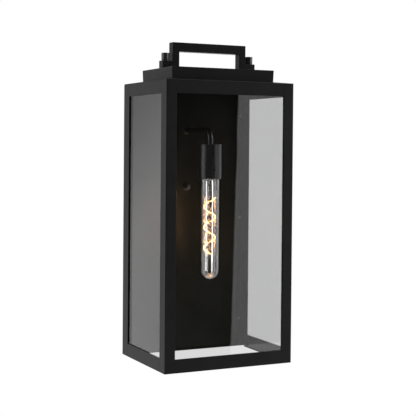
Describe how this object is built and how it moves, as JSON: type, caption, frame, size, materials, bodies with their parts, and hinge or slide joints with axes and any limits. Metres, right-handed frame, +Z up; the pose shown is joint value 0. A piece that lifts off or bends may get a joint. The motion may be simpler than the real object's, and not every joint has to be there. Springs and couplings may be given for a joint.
{
  "type": "outdoor wall lantern",
  "caption": "Rectangular glazed wall lantern with raised cap, bar handle with thumb nuts, open bottom, and a spiral-filament tubular bulb hung from a bent lamp pipe.",
  "frame": {"origin": "centre of the mounting bracket's slots, on the wall plane", "axes": "+X to the right as seen from in front, +Y into the wall, +Z up"},
  "size_m": [0.24, 0.1955, 0.5535],
  "materials": {
    "black_coat": "fine satin powder coat",
    "black_lamp_metal": "satin black paint",
    "pane_glass": "clear, polished",
    "black_tape": "matt",
    "foam": "closed-cell foam",
    "zinc_steel": "zinc plated",
    "green_screw": "green passivated",
    "porcelain": "glazed",
    "brass": "rolled",
    "bulb_base_metal": "rolled, lacquered",
    "solder": "dull solder",
    "base_insulator": "black vitrite",
    "bulb_glass": "clear",
    "filament": "lit",
    "support_wire": "drawn wire",
    "live_insulation": "insulation",
    "neutral_insulation": "insulation",
    "terminal_plastic": "moulded"
  },
  "bodies": {
    "lantern": {"front_left_post": "black_coat", "front_right_post": "black_coat", "rear_left_post": "black_coat", "rear_right_post": "black_coat", "front_top_rail": "black_coat", "left_top_rail": "black_coat", "right_top_rail": "black_coat", "front_bottom_rail": "black_coat", "left_bottom_rail": "black_coat", "right_bottom_rail": "black_coat", "rear_wall": "black_coat", "rear_top_strip": "black_coat", "rear_bottom_strip": "black_coat", "roof_plate": "black_coat", "cap_box": "black_coat", "handle": "black_coat", "front_left_retainer": "black_coat", "front_right_retainer": "black_coat", "left_rear_retainer": "black_coat", "right_rear_retainer": "black_coat", "arm_pipe": "black_lamp_metal", "socket_cup": "black_lamp_metal", "retainer_screws": "black_lamp_metal", "front_glass": "pane_glass", "left_glass": "pane_glass", "right_glass": "pane_glass", "front_glass_gasket": "black_tape", "left_glass_gasket": "black_tape", "right_glass_gasket": "black_tape", "wall_gasket": "foam", "cap_screws": "zinc_steel", "handle_studs": "zinc_steel", "handle_stud_nuts": "zinc_steel", "cup_locknut": "zinc_steel", "mounting_bracket": "zinc_steel", "mounting_stud": "zinc_steel", "stud_locknut": "zinc_steel", "ground_screw": "green_screw", "socket_body": "porcelain", "socket_screw_shell": "brass", "socket_center_contact": "brass", "live_wire": "live_insulation", "neutral_wire": "neutral_insulation", "terminal_block": "terminal_plastic"},
    "left_thumb_carrier": {"left_thumb_washer": "black_lamp_metal"},
    "left_thumb": {"left_thumb_nut": "black_lamp_metal"},
    "right_thumb_carrier": {"right_thumb_washer": "black_lamp_metal"},
    "right_thumb": {"right_thumb_nut": "black_lamp_metal"},
    "cap_nut_carrier": {"mounting_cap_washer": "black_lamp_metal"},
    "cap_nut": {"mounting_cap_nut": "black_lamp_metal"},
    "bulb_carrier": {"bulb_foot_contact": "solder"},
    "bulb": {"bulb_base_shell": "bulb_base_metal", "bulb_base_insulator": "base_insulator", "bulb_glass": "bulb_glass", "bulb_stem": "bulb_glass", "bulb_filament": "filament", "bulb_support_wires": "support_wire"}
  },
  "joints": [
    {"name": "left_thumb_travel", "type": "slide", "parent": "lantern", "child": "left_thumb_carrier", "axis": [0, 0, 1], "range_m": [0, 0.00905]},
    {"name": "left_thumb_turn", "type": "hinge", "parent": "left_thumb_carrier", "child": "left_thumb", "pos_m": [-0.0815, -0.094, 0.2275], "axis": [0, 0, 1], "range_deg": [0, 3240]},
    {"name": "right_thumb_travel", "type": "slide", "parent": "lantern", "child": "right_thumb_carrier", "axis": [0, 0, 1], "range_m": [0, 0.00905]},
    {"name": "right_thumb_turn", "type": "hinge", "parent": "right_thumb_carrier", "child": "right_thumb", "pos_m": [0.0815, -0.094, 0.2275], "axis": [0, 0, 1], "range_deg": [0, 3240]},
    {"name": "cap_nut_travel", "type": "slide", "parent": "lantern", "child": "cap_nut_carrier", "axis": [0, -1, 0], "range_m": [0, 0.00655]},
    {"name": "cap_nut_turn", "type": "hinge", "parent": "cap_nut_carrier", "child": "cap_nut", "pos_m": [0, -0.013, 0], "axis": [0, -1, 0], "range_deg": [0, 2340]},
    {"name": "bulb_travel", "type": "slide", "parent": "lantern", "child": "bulb_carrier", "axis": [0, 0, -1], "range_m": [0, 0.01547]},
    {"name": "bulb_turn", "type": "hinge", "parent": "bulb_carrier", "child": "bulb", "pos_m": [0, -0.106, 0.04], "axis": [0, 0, -1], "range_deg": [0, 1530]}
  ],
  "couplings": [
    {"joint": "left_thumb_travel", "follows": "left_thumb_turn", "m_per_rad": 0.00015915},
    {"joint": "right_thumb_travel", "follows": "right_thumb_turn", "m_per_rad": 0.00015915},
    {"joint": "cap_nut_travel", "follows": "cap_nut_turn", "m_per_rad": 0.00015915},
    {"joint": "bulb_travel", "follows": "bulb_turn", "m_per_rad": 0.00057757}
  ]
}
